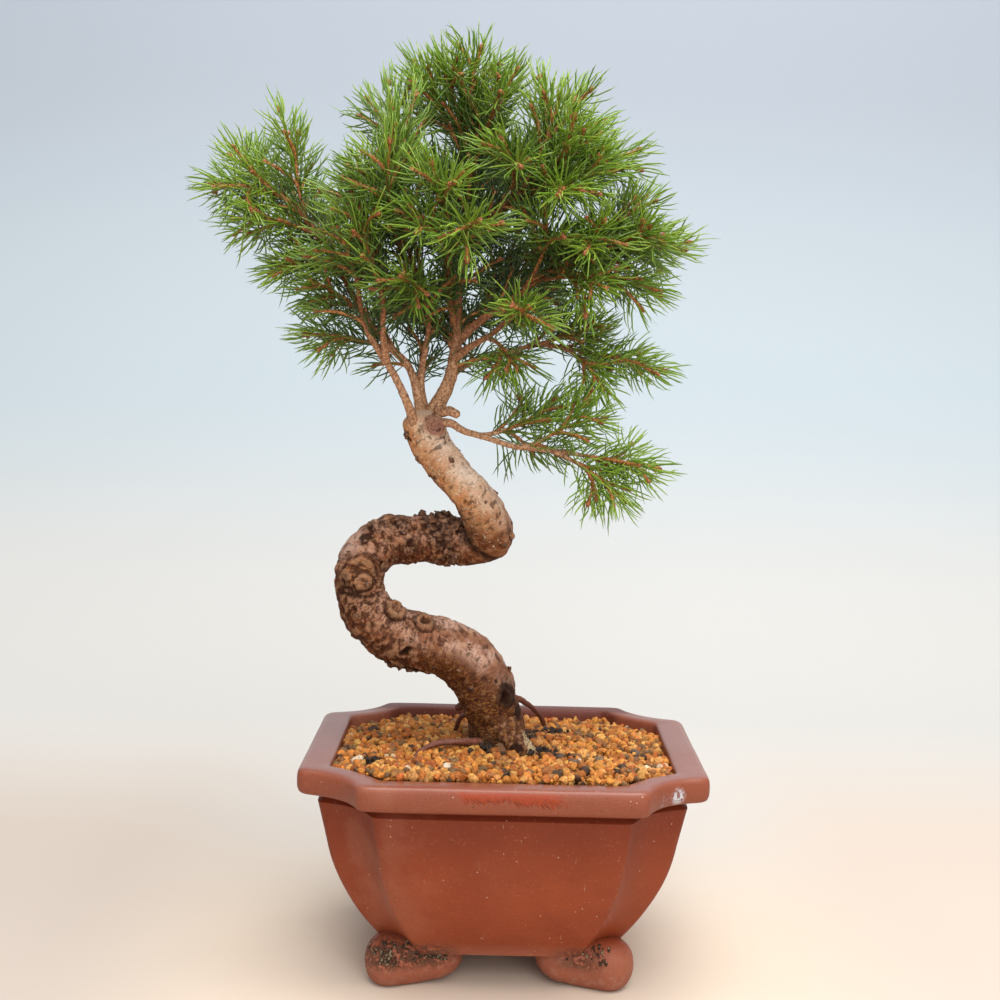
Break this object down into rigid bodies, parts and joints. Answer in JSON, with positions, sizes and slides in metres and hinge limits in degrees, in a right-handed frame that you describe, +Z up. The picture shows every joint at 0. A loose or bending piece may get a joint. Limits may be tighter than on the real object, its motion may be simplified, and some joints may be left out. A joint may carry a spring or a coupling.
{
  "type": "spruce bonsai",
  "caption": "Potted spruce bonsai: old coiled trunk with a rounded crown of short needles, in a footed clay pot with scooped corners and gravelled soil.",
  "frame": {"origin": "on the ground under the middle of the whole object's bounding box", "axes": "+Z up, -Y towards the front of the pot as the picture shows it, +X to the right seen from the front"},
  "size_m": [0.2024, 0.1408, 0.3675],
  "materials": {
    "fired_clay": "unglazed fired clay",
    "gravel": "rough grains",
    "bark": "rough bark",
    "needles": "satin leaf",
    "mesh_plastic": "moulded"
  },
  "bodies": {
    "root": {"drain_mesh_left": "mesh_plastic", "drain_mesh_right": "mesh_plastic", "pot": "fired_clay", "soil": "gravel", "spray_back_centre": "needles", "spray_back_high_left": "needles", "spray_back_high_mid": "needles", "spray_back_high_right": "needles", "spray_back_high_tip": "needles", "spray_back_left_low": "needles", "spray_back_left_tip": "needles", "spray_back_right_low": "needles", "spray_back_right_tip": "needles", "spray_centre_left_low": "needles", "spray_front_stem_face": "needles", "spray_front_stem_left": "needles", "spray_front_stem_tip": "needles", "spray_leader_left": "needles", "spray_leader_right": "needles", "spray_leader_tip": "needles", "spray_leader_top": "needles", "spray_left_back": "needles", "spray_left_bottom": "needles", "spray_left_crown_face": "needles", "spray_left_crown_mid": "needles", "spray_left_crown_top": "needles", "spray_left_far": "needles", "spray_left_far_upper": "needles", "spray_left_front_tip": "needles", "spray_left_high": "needles", "spray_left_low_in": "needles", "spray_left_low_out": "needles", "spray_left_mid": "needles", "spray_left_mid_face": "needles", "spray_left_under": "needles", "spray_low_right_far": "needles", "spray_low_right_yellow": "needles", "spray_lowest_inner": "needles", "spray_lowest_tip": "needles", "spray_lowest_under": "needles", "spray_lowest_upper": "needles", "spray_right_centre_face": "needles", "spray_right_centre_up": "needles", "spray_right_far": "needles", "spray_right_front_low": "needles", "spray_right_low_face": "needles", "spray_right_low_far": "needles", "spray_right_low_in": "needles", "spray_right_mid_face": "needles", "spray_right_mid_up": "needles", "spray_right_shoulder": "needles", "spray_right_tip": "needles", "spray_right_under": "needles", "spray_upper_front": "needles", "spray_upper_right_far": "needles", "spray_upper_right_low": "needles", "spray_upper_right_mid": "needles", "spray_upper_right_tip": "needles", "tree_wood": "bark"}
  },
  "joints": []
}
